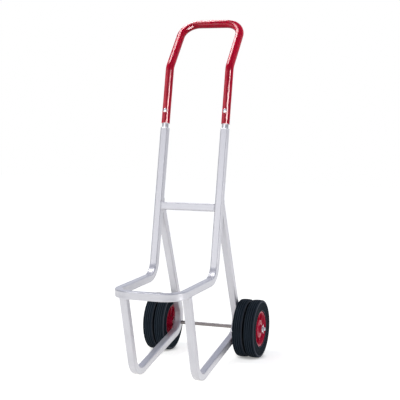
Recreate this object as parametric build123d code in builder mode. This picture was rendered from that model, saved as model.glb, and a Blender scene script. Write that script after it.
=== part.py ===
from build123d import *
from math import cos, radians, sin, tan
import os

# A stack-chair dolly: bent square-tube frame, bolted loop handle, twin wheels on one axle.
# The loop that goes under the chairs points to -Y and the wheels stand at +Y.
# The origin is on the floor under the middle of the object. Sizes are in millimetres.

# Frame tube
TUBE = 31.75
TUBE_WALL = 3.0
TUBE_CORNER = 5.0
BEND = 76.2

# Frame
FRAME_WIDTH = 304.8
LOOP_REACH = 713.0
LOOP_TOP = 403.0
ARM_LENGTH = 411.5
RAKE = 12.5
UPRIGHT_TOP = 1009.0
CROSS_BAR_Z = 682.0
LEG_LEAN = 15.4
SKID_RISE = 10.9
STRUT_LEAN = 22.6
WELD_CUT = 250.0

# Handle
HANDLE_DIA = 36.0
HANDLE_WALL = 2.9
HANDLE_END = 1031.0
HANDLE_KINK = 1272.0
HANDLE_BAR_BEHIND_AXLE = 88.0
HANDLE_BAR_Z = 1463.0
HANDLE_BEND = 74.0
HANDLE_KINK_BEND = 40.0

# Spigots that carry the handle
SPIGOT_DIA = 30.0
SPIGOT_BORE = 21.0
SPIGOT_IN_HANDLE = 95.0
PLUG_LENGTH = 55.0
PLUG_FIT = 0.15
CAP_THICK = 4.0
CAP_ROUND = 2.0

# Handle bolts
BOLT_RISE = 54.0
BOLT_DIA = 6.35
BOLT_HOLE = 6.6
BOLT_HEAD_DIA = 17.5
BOLT_HEAD_HEIGHT = 4.2
BOLT_HEAD_EDGE = 0.8
BOLT_TAIL = 2.5
NUT_FLATS = 11.1
NUT_HEIGHT = 6.0

# Wheels
WHEEL_DIA = 254.0
TYRE_WIDTH = 43.2
TYRE_SEAT = 73.5
TYRE_SHOULDER = 3.6
TYRE_CROWN_DROP = 1.0
TYRE_SHOULDER_DROP = 5.0
TYRE_SIDE_SAG = 26.0
TYRE_SAG_PINCH = 0.4
TYRE_PINCH = 2.4
BEAD_RING_FOOT = 1.5
BEAD_RING_TOP = 4.5
BEAD_RING_EDGE = 5.9
BEAD_RING_PROUD = 1.2
BEAD_GAP = 0.4
GROOVE_COUNT = 4
GROOVE_SPACING = 9.0
GROOVE_WIDTH = 3.0
GROOVE_DEPTH = 2.6

# Hubs
HUB_LENGTH = 50.8
HUB_NECK_WALL = 4.0
RIM_WIDTH = 34.0
RIM_FLANGE = 77.0
RIM_FLANGE_THICK = 2.5
RIM_MOUTH = 70.0
RIM_ROOT = 63.0
RIM_ROUND = 2.0
WEB_HALF = 3.0
BOSS_DRAFT = 2.0
BOSS_ROUND = 3.0
OUTER_BOSS = 39.5
OUTER_BOSS_DROP = 3.0
INNER_BOSS = 23.5
INNER_BOSS_WALL = 3.5
INNER_BOSS_DROP = 3.0
INNER_GROOVE_DEPTH = 9.0
RIB_COUNT = 8
RIB_THICK = 4.0
RIB_HALF_HEIGHT = 11.0

# Axle stack
AXLE_DIA = 15.875
AXLE_LENGTH = 548.0
AXLE_CHAMFER = 1.2
BUSH_DIA = 25.0
BUSH_LENGTH = 18.0
BUSH_FLANGE = 30.0
BUSH_FLANGE_THICK = 0.5
BUSH_FIT = 0.02
RUNNING_FIT = 0.05
END_PLAY = 0.3
SPACER_LENGTH = 3.7
SPACER_DIA = 24.0
WASHER_DIA = 28.6
WASHER_THICK = 1.6
WASHER_FIT = 0.15

# Cotter pins
COTTER_WIRE = 1.5
COTTER_HOLE = 3.6
COTTER_EYE = 3.6
COTTER_EYE_RISE = 7.2
COTTER_EYE_TOP = 13.0
COTTER_BEND = 2.2
COTTER_SPREAD = 5.5
COTTER_DROP = 20.0

# Places that follow from the driving sizes
RAIL_X = (FRAME_WIDTH - TUBE) / 2
LOOP_Z = LOOP_TOP - TUBE / 2
DEPTH = LOOP_REACH + WHEEL_DIA / 2
AXLE_Y = (DEPTH - WHEEL_DIA) / 2
AXLE_Z = WHEEL_DIA / 2
FRONT_BAR_Y = (TUBE - DEPTH) / 2
HEEL_Y = FRONT_BAR_Y + ARM_LENGTH
HANDLE_BAR_Y = AXLE_Y + HANDLE_BAR_BEHIND_AXLE
SPIGOT_NECK = (HANDLE_END - UPRIGHT_TOP) / cos(radians(RAKE))
STACK_START = FRAME_WIDTH / 2 + SPACER_LENGTH + END_PLAY
HUB_PITCH = HUB_LENGTH + 2 * BUSH_FLANGE_THICK + WASHER_THICK + 2 * END_PLAY
HUB_REACH = HUB_LENGTH / 2 + BUSH_FLANGE_THICK
BUSH_REACH = BUSH_LENGTH + BUSH_FLANGE_THICK
INNER_WHEEL_X = STACK_START + HUB_REACH
OUTER_WHEEL_X = INNER_WHEEL_X + HUB_PITCH
MIDDLE_WASHER_X = INNER_WHEEL_X + HUB_REACH + END_PLAY
OUTER_WASHER_X = OUTER_WHEEL_X + HUB_REACH + END_PLAY
COTTER_X = OUTER_WASHER_X + WASHER_THICK + COTTER_HOLE / 2
SIDES = (("left", -1), ("right", 1))

# Directions in the side view
ALONG_UPRIGHT = Vector(0, sin(radians(RAKE)), cos(radians(RAKE)))
BEHIND_UPRIGHT = Vector(0, cos(radians(RAKE)), -sin(radians(RAKE)))
UP_LEG = Vector(0, -sin(radians(LEG_LEAN)), cos(radians(LEG_LEAN)))
ALONG_SKID = Vector(0, cos(radians(SKID_RISE)), sin(radians(SKID_RISE)))
UP_STRUT = Vector(0, -sin(radians(STRUT_LEAN)), cos(radians(STRUT_LEAN)))


def upright_y(height):
    """Y of the uprights' centre line at a height above the floor."""
    return HEEL_Y + (height - LOOP_Z) * tan(radians(RAKE))


def on_rail(sign, y, z):
    """A point on the centre plane of the left or right tubes."""
    return Vector(sign * RAIL_X, y, z)


def square_tube_section():
    """Section of the square frame tube, drawn in the sketch that is open."""
    bore = TUBE - 2 * TUBE_WALL
    RectangleRounded(TUBE, TUBE, TUBE_CORNER)
    RectangleRounded(bore, bore, TUBE_CORNER - TUBE_WALL, mode=Mode.SUBTRACT)


def across_start(line):
    """Plane square to the start of a line, with its X along the axle."""
    return Plane(origin=line @ 0, x_dir=(1, 0, 0), z_dir=line % 0)


def wheel_plane(sign, x):
    """Plane through the axle: its X points outboard from x and its Y is the radius."""
    return Plane(origin=(sign * x, AXLE_Y, AXLE_Z), x_dir=(sign, 0, 0), z_dir=(0, -sign, 0))


def axle_plane(sign, x):
    """Plane square to the axle at x, facing outboard."""
    return Plane(origin=(sign * x, AXLE_Y, AXLE_Z), x_dir=(0, 1, 0), z_dir=(sign, 0, 0))


def bolt_centre(sign):
    """Middle of the handle tube where its cross bolt goes through."""
    height = HANDLE_END + BOLT_RISE * cos(radians(RAKE))
    return on_rail(sign, upright_y(height), height)


def save(piece, name):
    """Label a finished piece and write its file."""
    piece.label = name
    export_step(piece, f"parts/{name}.step")


os.makedirs("parts", exist_ok=True)
AXLE_LINE = Axis((0, AXLE_Y, AXLE_Z), (1, 0, 0))

# Upper frame: uprights, arms and front bar bent from one tube
with BuildPart() as upper_frame:
    with BuildLine() as loop_route:
        FilletPolyline(
            on_rail(-1, upright_y(UPRIGHT_TOP), UPRIGHT_TOP),
            on_rail(-1, HEEL_Y, LOOP_Z),
            on_rail(-1, FRONT_BAR_Y, LOOP_Z),
            on_rail(1, FRONT_BAR_Y, LOOP_Z),
            on_rail(1, HEEL_Y, LOOP_Z),
            on_rail(1, upright_y(UPRIGHT_TOP), UPRIGHT_TOP),
            radius=BEND,
        )
    with BuildSketch(across_start(loop_route.line)):
        square_tube_section()
    sweep(path=loop_route.line)
save(upper_frame.part, "upper_frame")

# Cross bar welded between the uprights
with BuildPart() as cross_bar:
    bar_start = Plane(
        origin=(TUBE / 2 - RAIL_X, upright_y(CROSS_BAR_Z), CROSS_BAR_Z),
        x_dir=BEHIND_UPRIGHT,
        z_dir=(1, 0, 0),
    )
    with BuildSketch(bar_start):
        square_tube_section()
    extrude(amount=FRAME_WIDTH - 2 * TUBE)
save(cross_bar.part, "cross_bar")

# Side tubes: leg, foot bend, skid, rear bend round the axle, and strut
half_rear_corner = radians(90 - STRUT_LEAN + SKID_RISE) / 2
rear_bisector = (UP_STRUT - ALONG_SKID).normalized()
rear_corner = Vector(0, AXLE_Y, AXLE_Z) - rear_bisector * BEND * (1 / sin(half_rear_corner) - 1)
foot_bend_rise = (ALONG_SKID.Z + UP_LEG.Z) / cos(radians(LEG_LEAN - SKID_RISE))
foot_z = TUBE / 2 + BEND * (1 - foot_bend_rise)
foot_corner = rear_corner - ALONG_SKID * ((rear_corner.Z - foot_z) / ALONG_SKID.Z)
leg_top = foot_corner + UP_LEG * ((LOOP_Z - foot_z) / UP_LEG.Z)
strut_top = rear_corner + UP_STRUT * ((CROSS_BAR_Z + TUBE - rear_corner.Z) / UP_STRUT.Z)
for side, sign in SIDES:
    with BuildPart() as side_tube:
        with BuildLine() as side_route:
            FilletPolyline(
                on_rail(sign, leg_top.Y, leg_top.Z),
                on_rail(sign, foot_corner.Y, foot_corner.Z),
                on_rail(sign, rear_corner.Y, rear_corner.Z),
                on_rail(sign, strut_top.Y, strut_top.Z),
                radius=BEND,
            )
        with BuildSketch(across_start(side_route.line)):
            square_tube_section()
        sweep(path=side_route.line)
        with Locations(on_rail(sign, leg_top.Y, LOOP_TOP - TUBE)):
            Box(
                WELD_CUT,
                WELD_CUT,
                WELD_CUT,
                align=(Align.CENTER, Align.CENTER, Align.MIN),
                mode=Mode.SUBTRACT,
            )
        upright_back = Plane(
            origin=on_rail(sign, upright_y(CROSS_BAR_Z), CROSS_BAR_Z) + BEHIND_UPRIGHT * TUBE / 2,
            x_dir=(1, 0, 0),
            z_dir=BEHIND_UPRIGHT,
        )
        with Locations(upright_back):
            Box(
                WELD_CUT,
                WELD_CUT,
                WELD_CUT,
                align=(Align.CENTER, Align.CENTER, Align.MAX),
                mode=Mode.SUBTRACT,
            )
        with Locations(axle_plane(sign, RAIL_X)):
            Cylinder(AXLE_DIA / 2 + RUNNING_FIT, 2 * TUBE, mode=Mode.SUBTRACT)
    save(side_tube.part, f"{side}_side_tube")

# Spigots: a square plug in each upright, a cap, and a round neck that the handle slides on
for side, sign in SIDES:
    with BuildPart() as spigot:
        plug_width = TUBE - 2 * TUBE_WALL - 2 * PLUG_FIT
        tube_end = Plane(
            origin=on_rail(sign, upright_y(UPRIGHT_TOP), UPRIGHT_TOP),
            x_dir=(1, 0, 0),
            z_dir=ALONG_UPRIGHT,
        )
        with BuildSketch(tube_end):
            RectangleRounded(TUBE, TUBE, TUBE_CORNER)
        extrude(amount=CAP_THICK)
        cap_top = spigot.faces().sort_by(Axis(tube_end.origin, ALONG_UPRIGHT))[-1]
        fillet(cap_top.edges(), CAP_ROUND)
        with BuildSketch(tube_end):
            RectangleRounded(plug_width, plug_width, TUBE_CORNER - TUBE_WALL)
        extrude(amount=-PLUG_LENGTH)
        with BuildSketch(tube_end):
            Circle(SPIGOT_DIA / 2)
        extrude(amount=SPIGOT_NECK + SPIGOT_IN_HANDLE)
        with BuildSketch(tube_end):
            Circle(SPIGOT_BORE / 2)
        extrude(amount=SPIGOT_NECK + SPIGOT_IN_HANDLE, mode=Mode.SUBTRACT)
        with Locations(Plane(bolt_centre(sign), x_dir=(1, 0, 0), z_dir=BEHIND_UPRIGHT)):
            Cylinder(BOLT_HOLE / 2, 2 * SPIGOT_DIA, mode=Mode.SUBTRACT)
    save(spigot.part, f"{side}_handle_spigot")

# Handle: round tube bent into a tall loop that leans back above its two kinks
with BuildPart() as handle:
    with BuildLine() as handle_route:
        FilletPolyline(
            on_rail(-1, upright_y(HANDLE_END), HANDLE_END),
            on_rail(-1, upright_y(HANDLE_KINK), HANDLE_KINK),
            on_rail(-1, HANDLE_BAR_Y, HANDLE_BAR_Z),
            on_rail(1, HANDLE_BAR_Y, HANDLE_BAR_Z),
            on_rail(1, upright_y(HANDLE_KINK), HANDLE_KINK),
            on_rail(1, upright_y(HANDLE_END), HANDLE_END),
            radius=[HANDLE_KINK_BEND, HANDLE_BEND, HANDLE_BEND, HANDLE_KINK_BEND],
        )
    with BuildSketch(across_start(handle_route.line)):
        Circle(HANDLE_DIA / 2)
        Circle(HANDLE_DIA / 2 - HANDLE_WALL, mode=Mode.SUBTRACT)
    sweep(path=handle_route.line)
    for side, sign in SIDES:
        with Locations(Plane(bolt_centre(sign), x_dir=(1, 0, 0), z_dir=BEHIND_UPRIGHT)):
            Cylinder(BOLT_HOLE / 2, 2 * HANDLE_DIA, mode=Mode.SUBTRACT)
save(handle.part, "handle")

# Handle bolts: domed heads on the front of the handle legs
with BuildPart() as handle_bolts:
    for side, sign in SIDES:
        centre = bolt_centre(sign)
        seat = HANDLE_DIA / 2
        tail = -seat - NUT_HEIGHT - BOLT_TAIL
        with BuildSketch(Plane(centre, x_dir=(1, 0, 0), z_dir=ALONG_UPRIGHT * -1)):
            with BuildLine():
                dome = TangentArc(
                    (0, seat + BOLT_HEAD_HEIGHT),
                    (BOLT_HEAD_DIA / 2, seat + BOLT_HEAD_EDGE),
                    tangent=(1, 0),
                )
                Polyline(
                    dome @ 1,
                    (BOLT_HEAD_DIA / 2, seat),
                    (BOLT_DIA / 2, seat),
                    (BOLT_DIA / 2, tail),
                    (0, tail),
                    dome @ 0,
                )
            make_face()
        revolve(axis=Axis(centre, BEHIND_UPRIGHT))
save(handle_bolts.part, "handle_bolts")

# Lock nuts behind the handle legs
with BuildPart() as handle_nuts:
    for side, sign in SIDES:
        nut_seat = bolt_centre(sign) + BEHIND_UPRIGHT * HANDLE_DIA / 2
        with BuildSketch(Plane(nut_seat, x_dir=(1, 0, 0), z_dir=BEHIND_UPRIGHT)):
            RegularPolygon(NUT_FLATS / 2, 6, major_radius=False)
            Circle(BOLT_DIA / 2 + RUNNING_FIT, mode=Mode.SUBTRACT)
        extrude(amount=NUT_HEIGHT)
save(handle_nuts.part, "handle_nuts")

# Axle: a round bar with a cotter hole near each end
with BuildPart() as axle:
    with Locations(axle_plane(1, 0)):
        Cylinder(AXLE_DIA / 2, AXLE_LENGTH)
    chamfer(axle.edges().filter_by(GeomType.CIRCLE), AXLE_CHAMFER)
    with Locations((-COTTER_X, AXLE_Y, AXLE_Z), (COTTER_X, AXLE_Y, AXLE_Z)):
        Cylinder(COTTER_HOLE / 2, 2 * AXLE_DIA, mode=Mode.SUBTRACT)
save(axle.part, "axle")

# Spacers and washers between the side tubes, the wheels and the cotter pins
RINGS = (
    ("axle_spacers", FRAME_WIDTH / 2, SPACER_LENGTH, SPACER_DIA),
    ("middle_washers", MIDDLE_WASHER_X, WASHER_THICK, WASHER_DIA),
    ("outer_washers", OUTER_WASHER_X, WASHER_THICK, WASHER_DIA),
)
for ring_name, ring_x, ring_length, ring_dia in RINGS:
    with BuildPart() as rings:
        for side, sign in SIDES:
            with BuildSketch(axle_plane(sign, ring_x)):
                Circle(ring_dia / 2)
                Circle(AXLE_DIA / 2 + WASHER_FIT, mode=Mode.SUBTRACT)
            extrude(amount=ring_length)
    save(rings.part, ring_name)

# Cotter pins: one wire folded into an eye, with its two legs spread under the axle
for side, sign in SIDES:
    with BuildPart() as cotter_pin:
        leg = COTTER_WIRE / 2 + RUNNING_FIT
        axle_top = AXLE_DIA / 2
        with BuildLine(Plane((sign * COTTER_X, AXLE_Y, AXLE_Z), x_dir=(0, 1, 0), z_dir=(1, 0, 0))) as wire:
            FilletPolyline(
                (-COTTER_SPREAD, -COTTER_DROP),
                (-leg, -axle_top - COTTER_WIRE),
                (-leg, axle_top + COTTER_WIRE),
                (-COTTER_EYE, axle_top + COTTER_EYE_RISE),
                (0, axle_top + COTTER_EYE_TOP),
                (COTTER_EYE, axle_top + COTTER_EYE_RISE),
                (leg, axle_top + COTTER_WIRE),
                (leg, -axle_top - COTTER_WIRE),
                (COTTER_SPREAD, -COTTER_DROP),
                radius=COTTER_BEND,
            )
        with BuildSketch(Plane(origin=wire.line @ 0, x_dir=(1, 0, 0), z_dir=wire.line % 0)):
            Circle(COTTER_WIRE / 2)
        sweep(path=wire.line)
    save(cotter_pin.part, f"{side}_cotter_pin")

# Wheels: four alike, each a rubber tyre on a ribbed hub that turns on two flanged bushes
for side, sign in SIDES:
    for place, wheel_x in (("inner", INNER_WHEEL_X), ("outer", OUTER_WHEEL_X)):
        radial = wheel_plane(sign, wheel_x)

        with BuildPart() as hub:
            half_rim = RIM_WIDTH / 2
            half_hub = HUB_LENGTH / 2
            flange = half_rim - RIM_FLANGE_THICK
            bore = BUSH_DIA / 2 + BUSH_FIT
            neck = bore + HUB_NECK_WALL
            inner_face = INNER_BOSS_DROP - half_hub
            groove_floor = INNER_GROOVE_DEPTH - half_hub
            outer_face = half_rim - OUTER_BOSS_DROP
            hub_outline = (
                ((-half_hub, bore), 0),
                ((-half_hub, neck), 0),
                ((groove_floor, neck), 0),
                ((groove_floor, INNER_BOSS - INNER_BOSS_WALL), 0),
                ((inner_face, INNER_BOSS - INNER_BOSS_WALL), 0),
                ((inner_face, INNER_BOSS), RIM_ROUND / 2),
                ((-WEB_HALF, INNER_BOSS + BOSS_DRAFT), 0),
                ((-WEB_HALF, RIM_ROOT), 0),
                ((-half_rim, RIM_MOUTH), RIM_ROUND),
                ((-half_rim, RIM_FLANGE), 0),
                ((-flange, RIM_FLANGE), 0),
                ((-flange, TYRE_SEAT), 0),
                ((flange, TYRE_SEAT), 0),
                ((flange, RIM_FLANGE), 0),
                ((half_rim, RIM_FLANGE), 0),
                ((half_rim, RIM_MOUTH), RIM_ROUND),
                ((WEB_HALF, RIM_ROOT), 0),
                ((WEB_HALF, OUTER_BOSS + BOSS_DRAFT), 0),
                ((outer_face, OUTER_BOSS), BOSS_ROUND),
                ((half_rim, neck + BOSS_DRAFT), 0),
                ((half_hub, neck), 0),
                ((half_hub, bore), 0),
            )
            with BuildSketch(radial):
                with BuildLine():
                    FilletPolyline(
                        *[point for point, rounding in hub_outline],
                        radius=[rounding for point, rounding in hub_outline],
                        close=True,
                    )
                make_face()
            revolve(axis=AXLE_LINE)
            rib_inner = INNER_BOSS
            rib_outer = (RIM_ROOT + RIM_MOUTH) / 2
            with BuildSketch(axle_plane(sign, wheel_x)):
                with PolarLocations((rib_inner + rib_outer) / 2, RIB_COUNT):
                    Rectangle(rib_outer - rib_inner, RIB_THICK)
            extrude(amount=RIB_HALF_HEIGHT, both=True)
        save(hub.part, f"{side}_{place}_hub")

        with BuildPart() as tyre:
            half_tyre = TYRE_WIDTH / 2
            tread = WHEEL_DIA / 2
            bead = RIM_WIDTH / 2 - RIM_FLANGE_THICK - RUNNING_FIT
            with BuildSketch(radial):
                with BuildLine():
                    crown = TangentArc(
                        (0, tread), (half_tyre - TYRE_SHOULDER, tread - TYRE_CROWN_DROP), tangent=(1, 0)
                    )
                    shoulder = TangentArc(
                        crown @ 1, (half_tyre, tread - TYRE_SHOULDER_DROP), tangent=crown % 1
                    )
                    side_wall = ThreePointArc(
                        shoulder @ 1,
                        (half_tyre - TYRE_SAG_PINCH, tread - TYRE_SIDE_SAG),
                        (half_tyre - TYRE_PINCH, RIM_FLANGE + BEAD_RING_EDGE),
                    )
                    ring_face = half_tyre - TYRE_PINCH + BEAD_RING_PROUD
                    Polyline(
                        side_wall @ 1,
                        (ring_face, RIM_FLANGE + BEAD_RING_TOP),
                        (ring_face, RIM_FLANGE + BEAD_RING_FOOT),
                        (RIM_WIDTH / 2, RIM_FLANGE + BEAD_GAP),
                        (bead, RIM_FLANGE + BEAD_GAP),
                        (bead, TYRE_SEAT + RUNNING_FIT),
                        (0, TYRE_SEAT + RUNNING_FIT),
                    )
                    mirror(about=Plane.YZ)
                make_face()
                with Locations((0, tread)):
                    with GridLocations(GROOVE_SPACING, 0, GROOVE_COUNT, 1):
                        Rectangle(GROOVE_WIDTH, 2 * GROOVE_DEPTH, mode=Mode.SUBTRACT)
            revolve(axis=AXLE_LINE)
        save(tyre.part, f"{side}_{place}_tyre")

        for face, outward in (("outboard", 1), ("inboard", -1)):
            with BuildPart() as bush:
                hub_end = sign * wheel_x + sign * outward * HUB_LENGTH / 2
                out_of_hub = Plane((hub_end, AXLE_Y, AXLE_Z), x_dir=(0, 1, 0), z_dir=(sign * outward, 0, 0))
                with BuildSketch(out_of_hub):
                    Circle(BUSH_FLANGE / 2)
                extrude(amount=BUSH_FLANGE_THICK)
                with BuildSketch(out_of_hub):
                    Circle(BUSH_DIA / 2)
                extrude(amount=-BUSH_LENGTH)
                with Locations((hub_end, AXLE_Y, AXLE_Z)):
                    Cylinder(AXLE_DIA / 2 + RUNNING_FIT, 2 * BUSH_REACH, rotation=(0, 90, 0),
                             mode=Mode.SUBTRACT)
            save(bush.part, f"{side}_{place}_{face}_bush")
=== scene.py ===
"""Looks, light and camera for the chair dolly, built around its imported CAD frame. Lengths are in metres."""

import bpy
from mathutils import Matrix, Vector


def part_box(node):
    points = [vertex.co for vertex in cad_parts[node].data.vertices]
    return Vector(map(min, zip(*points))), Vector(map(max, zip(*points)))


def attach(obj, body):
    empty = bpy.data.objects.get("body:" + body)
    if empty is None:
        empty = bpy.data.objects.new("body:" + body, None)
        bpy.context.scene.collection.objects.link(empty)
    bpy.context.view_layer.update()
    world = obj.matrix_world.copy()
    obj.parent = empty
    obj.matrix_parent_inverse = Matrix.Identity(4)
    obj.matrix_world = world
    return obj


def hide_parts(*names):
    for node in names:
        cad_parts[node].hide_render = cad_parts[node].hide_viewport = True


bl_info = {
    "name": "Chair Dolly Looks",
    "version": (1, 0, 0),
    "blender": (4, 5, 0),
    "location": "View3D > Sidebar > Chair Dolly",
    "description": "Bent tubes, welds, handle, wheels, hardware, finishes and studio of a chair dolly",
    "category": "Object",
}

from functools import cache
from math import cos, pi, radians, sin, sqrt, tan, tau

import bmesh
import bpy
from bpy.props import FloatProperty, FloatVectorProperty, IntProperty, PointerProperty
from mathutils import Vector

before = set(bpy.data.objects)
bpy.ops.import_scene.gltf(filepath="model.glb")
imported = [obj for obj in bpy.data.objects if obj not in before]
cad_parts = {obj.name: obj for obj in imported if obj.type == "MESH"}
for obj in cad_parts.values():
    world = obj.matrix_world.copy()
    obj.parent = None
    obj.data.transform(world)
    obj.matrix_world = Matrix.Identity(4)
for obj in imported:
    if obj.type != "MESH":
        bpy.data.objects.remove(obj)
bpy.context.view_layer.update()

SIDES = {"left": -1, "right": 1}
PLACES = ("inner", "outer")
ACROSS = Vector((1, 0, 0))
UP = Vector((0, 0, 1))


def middle_of(node):
    """Centre of a CAD node's box."""
    low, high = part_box(node)
    return (low + high) / 2


def size_of(node):
    """Size of a CAD node's box."""
    low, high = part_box(node)
    return high - low


# Places and sizes that the CAD frame gives, with the tread and the flange as radii
AXLE = middle_of("axle")
TUBE = size_of("left_side_tube").x
FRAME_LOW, FRAME_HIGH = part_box("upper_frame")
RAIL_X = FRAME_HIGH.x - TUBE / 2
FRONT_BAR_Y = FRAME_LOW.y + TUBE / 2
LOOP_Z = FRAME_LOW.z + TUBE / 2
CROSS_BAR_Z = middle_of("cross_bar").z
HANDLE_LOW, HANDLE_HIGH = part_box("handle")
HANDLE_DIA = 2 * (HANDLE_HIGH.x - RAIL_X)
TREAD = size_of("right_outer_tyre").z / 2
TYRE_WIDTH = size_of("right_outer_tyre").x
FLANGE = size_of("right_outer_hub").z / 2
HALF_HUB = size_of("right_outer_hub").x / 2

# Faces of the tubes and welds
BEND_STEPS = 24
CORNER_STEPS = 5
WALL_CUTS = 4
ROUND_SIDES = 32
BEAD_SIDES = 10
RIPPLE_RINGS = 6
BEAD_CORNER_STEPS = 6

# Steps before and after a point of a tube between which its turn is read
TURN_REACH = 2

# Names of the attributes that the meshes carry
BEND_SHARE = "bend_share"
TUBE_COORDINATE = "tube_coordinate"
TURNED_COORDINATE = "turned_coordinate"

# Limits for cleaning a mesh: doubles, slivers, the reach of a cut and the angle of a sharp edge
MERGE_DISTANCE = 1e-6
SLIVER_LENGTH = 1e-7
CUT_REACH = 0.1
SHARP = radians(38)

# Sizes that tyre, hub and ribs share
INNER_BOSS = 0.0235
HALF_RIM = 0.017
RIM_LIP = 0.0025
RIM_SEAT = 0.0735
TYRE_GAP = 0.0001


# Settings

def length_setting(name, description, default):
    """Setting for a length."""
    return FloatProperty(name=name, description=description, default=default, unit="LENGTH")


def angle_setting(name, description, degrees):
    """Setting for an angle."""
    return FloatProperty(name=name, description=description, default=radians(degrees), unit="ROTATION")


def count_setting(name, description, default):
    """Setting for a count."""
    return IntProperty(name=name, description=description, default=default)


def colour_setting(name, description, default):
    """Setting for a colour."""
    return FloatVectorProperty(name=name, description=description, default=default, subtype="COLOR")


def place_setting(name, description, default):
    """Setting for a point in the scene."""
    return FloatVectorProperty(
        name=name, description=description, default=default, subtype="TRANSLATION", unit="LENGTH")


def power_setting(name, description, default):
    """Setting for the power of a lamp."""
    return FloatProperty(name=name, description=description, default=default, unit="POWER")


class DollyTubes(bpy.types.PropertyGroup):
    """Sizes of the square-tube frame."""

    corner_radius: length_setting("Corner radius", "Outside corner radius of the square tube", 0.005)
    bend_radius: length_setting("Bend radius", "Centre-line radius of every frame bend", 0.0762)
    bend_crush: length_setting("Bend crush", "How far the walls of a bend are drawn in", 0.0011)
    step: length_setting("Step", "Length of one ring of faces along a tube", 0.006)
    rake: angle_setting("Rake", "How far the uprights lean back", 12.5)
    leg_lean: angle_setting("Leg lean", "How far the front legs lean forward", 15.4)
    skid_rise: angle_setting("Skid rise", "Slope of the skids from the feet to the axle", 10.9)
    strut_lean: angle_setting("Strut lean", "How far the struts lean forward", 22.6)
    weld_width: length_setting("Weld width", "Width of the weld beads", 0.0062)
    weld_pitch: length_setting("Weld pitch", "Distance between two ripples of a weld bead", 0.0026)


class DollyHandle(bpy.types.PropertyGroup):
    """Sizes of the loop handle and its bolts."""

    bend_radius: length_setting("Bend radius", "Centre-line radius of the handle's upper bends", 0.074)
    kink_radius: length_setting("Kink radius", "Centre-line radius of the bends where it turns back", 0.04)
    kink_height: length_setting("Kink height", "Height above the floor where it turns back", 1.272)
    bolt_rise: length_setting("Bolt rise", "Distance from the handle's lower end to its bolt", 0.054)
    bolt_head: length_setting("Bolt head", "Diameter of the domed bolt head", 0.0175)
    nut_flats: length_setting("Nut flats", "Width of the lock nut across its flats", 0.0111)


class DollyWheels(bpy.types.PropertyGroup):
    """Sizes of the tyres and hubs."""

    groove_count: count_setting("Tread grooves", "Number of grooves around the tread", 4)
    groove_pitch: length_setting("Groove pitch", "Distance between two tread grooves", 0.009)
    groove_width: length_setting("Groove width", "Width of one tread groove", 0.003)
    groove_depth: length_setting("Groove depth", "Depth of one tread groove", 0.0026)
    rib_count: count_setting("Hub ribs", "Number of radial ribs on each face of a hub", 8)
    rib_thickness: length_setting("Rib thickness", "Thickness of one hub rib", 0.0032)
    segments: count_setting("Segments", "Faces around a wheel", 128)


class DollyFinishes(bpy.types.PropertyGroup):
    """Colours of the finishes."""

    aluminium: colour_setting("Aluminium", "Satin aluminium of the frame tubes", (0.70, 0.69, 0.71))
    spigot: colour_setting("Spigot", "Polished aluminium of the handle spigots", (0.93, 0.93, 0.94))
    handle_red: colour_setting("Handle red", "Gloss enamel of the handle", (0.43, 0.002, 0.022))
    hub_red: colour_setting("Hub red", "Moulded red of the hubs", (0.55, 0.012, 0.05))
    rubber: colour_setting("Rubber", "Black rubber of the tyres", (0.0135, 0.0228, 0.031))
    # Paler tyre edges: painted highlight on ribs, shoulders and bead rings, partly wear
    highlight_and_wear_rubber: colour_setting("Worn rubber", "Greyed edges of the tyres", (0.155, 0.166, 0.18))
    zinc: colour_setting("Zinc", "Bright plating of bolts, nuts, washers and pins", (0.88, 0.885, 0.9))
    steel: colour_setting("Steel", "Plain steel of the axle", (0.245, 0.22, 0.215))
    nylon: colour_setting("Nylon", "Moulded nylon of the wheel bushes", (0.70, 0.69, 0.66))


class DollyStudio(bpy.types.PropertyGroup):
    """Camera and light."""

    camera_place: place_setting("Camera", "Where the camera stands", (1.622, -4.134, 1.209))
    camera_aim: place_setting("Aim", "Point that the camera looks at", (-0.0272, 0.282, 0.6885))
    lens: FloatProperty(
        name="Lens", description="Focal length on a 36 mm sensor", default=96.3, unit="CAMERA")
    floor_size: length_setting("Floor", "Width of the floor", 16.0)
    ambient: FloatProperty(
        name="Ambient", description="Strength of the surround's light on the object", default=0.38,
        min=0.0, max=1.0, subtype="FACTOR")
    key_power: power_setting("Key", "Soft box in front", 42.0)
    top_power: power_setting("Top", "Soft box overhead", 36.0)
    left_power: power_setting("Left", "Light that clears the left of the handle's legs", 48.0)
    right_power: power_setting("Right", "Light that clears the right of the handle's slopes", 80.0)
    strip_power: power_setting("Strip", "Light that draws a streak on the handle's legs", 620.0)
    panel_power: power_setting("Panel", "Light that shows in the left of the handle's legs", 120.0)
    edge_power: power_setting("Edge", "Light that draws a streak on the handle's slopes", 15.0)
    back_power: power_setting("Back", "Light that draws a streak on top of the handle's bar", 40.0)
    hub_power: power_setting("Hub", "Light that draws the edges of the hubs", 20.0)
    side_power: power_setting("Side", "Soft box on the right", 36.0)


# Node helpers

def add_node(tree, kind, inputs=None, **settings):
    """New node. Its inputs are given by name or number, as values or as sockets to link."""
    node = tree.nodes.new(kind)
    for name, value in settings.items():
        setattr(node, name, value)
    for key, value in (inputs or {}).items():
        if isinstance(value, bpy.types.NodeSocket):
            tree.links.new(value, node.inputs[key])
        else:
            node.inputs[key].default_value = value
    return node


def result(tree, kind, inputs=None, **settings):
    """First output of a new node."""
    return add_node(tree, kind, inputs, **settings).outputs[0]


def math_node(tree, operation, *values):
    """Output of a math node with these values or sockets."""
    return result(tree, "ShaderNodeMath", dict(enumerate(values)), operation=operation)


def vector_node(tree, operation, *values):
    """Output of a vector math node with these values or sockets."""
    node = add_node(tree, "ShaderNodeVectorMath", dict(enumerate(values)), operation=operation)
    return node.outputs["Value" if operation in ("DOT_PRODUCT", "DISTANCE") else "Vector"]


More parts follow.
